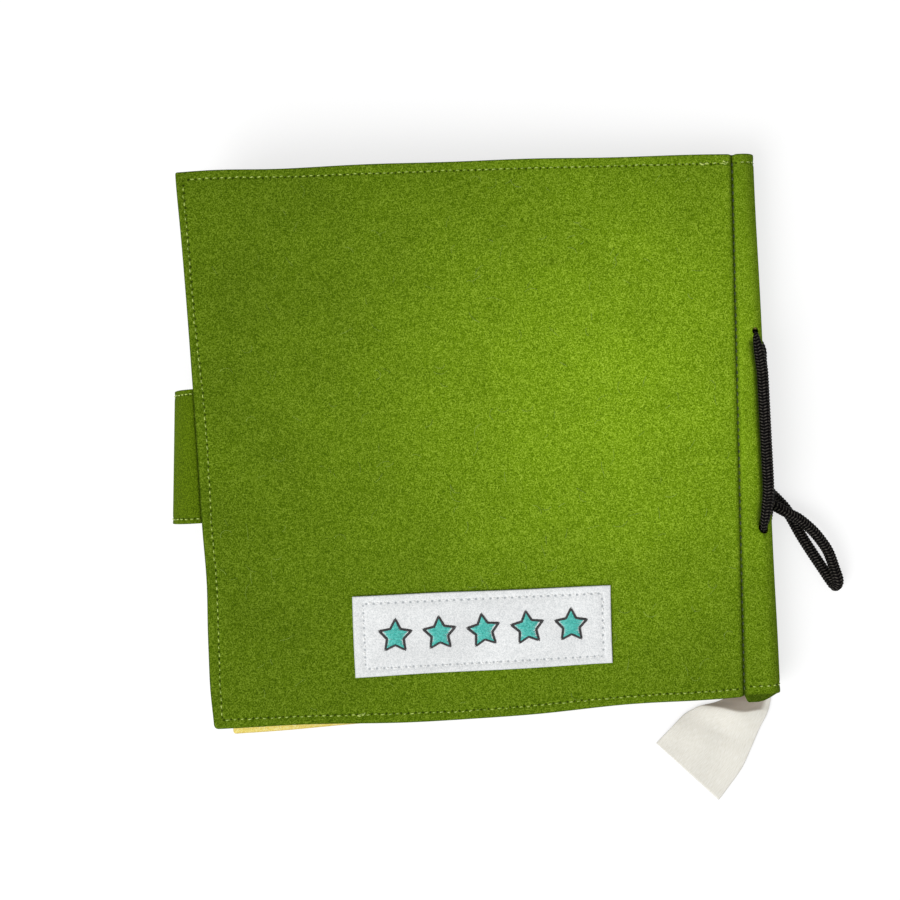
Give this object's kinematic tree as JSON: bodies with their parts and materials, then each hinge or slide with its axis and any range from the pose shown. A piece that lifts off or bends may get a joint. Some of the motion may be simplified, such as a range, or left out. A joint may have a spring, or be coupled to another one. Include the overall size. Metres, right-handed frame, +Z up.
{
  "type": "quiet book",
  "caption": "Square felt activity book with a laced binding, turning leaves, hinged felt covers and a strap that closes over the fore edge.",
  "frame": {"origin": "middle of the flat strip under the felt binding, which the closed book stands on", "axes": "+Z up through the thickness with the back cover on top, +X out of the spine edge, +Y towards the head of the book"},
  "size_m": [0.2879, 0.2792, 0.045],
  "materials": {
    "green_felt": "needle felt",
    "white_felt": "needle felt",
    "red_felt": "needle felt",
    "blue_felt": "needle felt",
    "orange_felt": "needle felt",
    "yellow_felt": "needle felt",
    "teal_felt": "needle felt",
    "black_cord": "round braid",
    "satin": "satin ribbon",
    "green_tape": "hook and loop tape",
    "snap_plastic": "moulded"
  },
  "bodies": {
    "binding": {"spine_felt": "green_felt", "front_lining_margin": "green_felt", "back_lining_margin": "green_felt", "leaf_1_margin": "red_felt", "leaf_2_margin": "blue_felt", "leaf_3_margin": "orange_felt", "leaf_4_margin": "yellow_felt", "lacing_cord": "black_cord", "lacing_knot": "black_cord", "cord_loop": "black_cord", "care_label": "satin"},
    "back_cover": {"back_cover_felt": "green_felt", "back_cover_lining": "green_felt", "name_patch": "white_felt", "lining_pocket": "teal_felt"},
    "strap": {"strap_outer_ply": "green_felt", "strap_inner_ply": "green_felt"},
    "strap_tip": {"strap_tip_outer_ply": "green_felt", "strap_tip_inner_ply": "green_felt", "hook_tape": "green_tape"},
    "front_cover": {"front_cover_felt": "green_felt", "front_cover_lining": "green_felt", "loop_tape": "green_tape", "shape_circle": "red_felt", "shape_square": "blue_felt", "shape_triangle": "orange_felt"},
    "leaf_1": {"leaf_1_lower_ply": "red_felt", "leaf_1_upper_ply": "red_felt", "leaf_1_flower": "white_felt"},
    "leaf_2": {"leaf_2_lower_ply": "blue_felt", "leaf_2_upper_ply": "blue_felt", "leaf_2_star": "yellow_felt"},
    "leaf_3": {"leaf_3_lower_ply": "orange_felt", "leaf_3_upper_ply": "orange_felt", "leaf_3_sun": "yellow_felt"},
    "leaf_4": {"leaf_4_lower_ply": "yellow_felt", "leaf_4_upper_ply": "yellow_felt", "clock_dial": "white_felt", "clock_snap": "snap_plastic"},
    "hour_hand": {"clock_hour_hand": "red_felt"},
    "minute_hand": {"clock_minute_hand": "blue_felt"}
  },
  "joints": [
    {"name": "back_cover_hinge", "type": "hinge", "parent": "binding", "child": "back_cover", "pos_m": [-0.00405, 0, 0.0234], "axis": [0.0282, 0.9996, 0], "range_deg": [0, 145]},
    {"name": "front_cover_hinge", "type": "hinge", "parent": "binding", "child": "front_cover", "pos_m": [-0.00405, 0, -0.0003], "axis": [-0.0282, -0.9996, 0], "range_deg": [0, 170]},
    {"name": "leaf_1_hinge", "type": "hinge", "parent": "binding", "child": "leaf_1", "pos_m": [-0.00405, 0, 0.00615], "axis": [0.0282, 0.9996, 0], "range_deg": [0, 7.25]},
    {"name": "leaf_2_hinge", "type": "hinge", "parent": "binding", "child": "leaf_2", "pos_m": [-0.00405, 0, 0.00975], "axis": [0.0282, 0.9996, 0], "range_deg": [0, 14.5]},
    {"name": "leaf_3_hinge", "type": "hinge", "parent": "binding", "child": "leaf_3", "pos_m": [-0.00405, 0, 0.01335], "axis": [0.0282, 0.9996, 0], "range_deg": [0, 21.75]},
    {"name": "leaf_4_hinge", "type": "hinge", "parent": "binding", "child": "leaf_4", "pos_m": [-0.00405, 0, 0.01695], "axis": [0.0282, 0.9996, 0], "range_deg": [0, 29]},
    {"name": "strap_fold_hinge", "type": "hinge", "parent": "back_cover", "child": "strap", "pos_m": [-0.23178, -0.0011, 0.0446], "axis": [-0.0148, 0.9999, 0], "range_deg": [0, 120]},
    {"name": "strap_tip_hinge", "type": "hinge", "parent": "strap", "child": "strap_tip", "pos_m": [-0.23178, -0.0011, 0], "axis": [-0.0148, 0.9999, 0], "range_deg": [0, 90]},
    {"name": "hour_hand_turn", "type": "hinge", "parent": "leaf_4", "child": "hour_hand", "pos_m": [-0.14235, 0.04893, 0.02729], "axis": [0.0628, -0.0018, 0.998], "continuous": true},
    {"name": "minute_hand_turn", "type": "hinge", "parent": "leaf_4", "child": "minute_hand", "pos_m": [-0.14235, 0.04893, 0.02729], "axis": [0.0628, -0.0018, 0.998], "continuous": true}
  ],
  "couplings": [
    {"joint": "leaf_1_hinge", "follows": "back_cover_hinge", "ratio": 0.05},
    {"joint": "leaf_2_hinge", "follows": "back_cover_hinge", "ratio": 0.1},
    {"joint": "leaf_3_hinge", "follows": "back_cover_hinge", "ratio": 0.15},
    {"joint": "leaf_4_hinge", "follows": "back_cover_hinge", "ratio": 0.2}
  ]
}
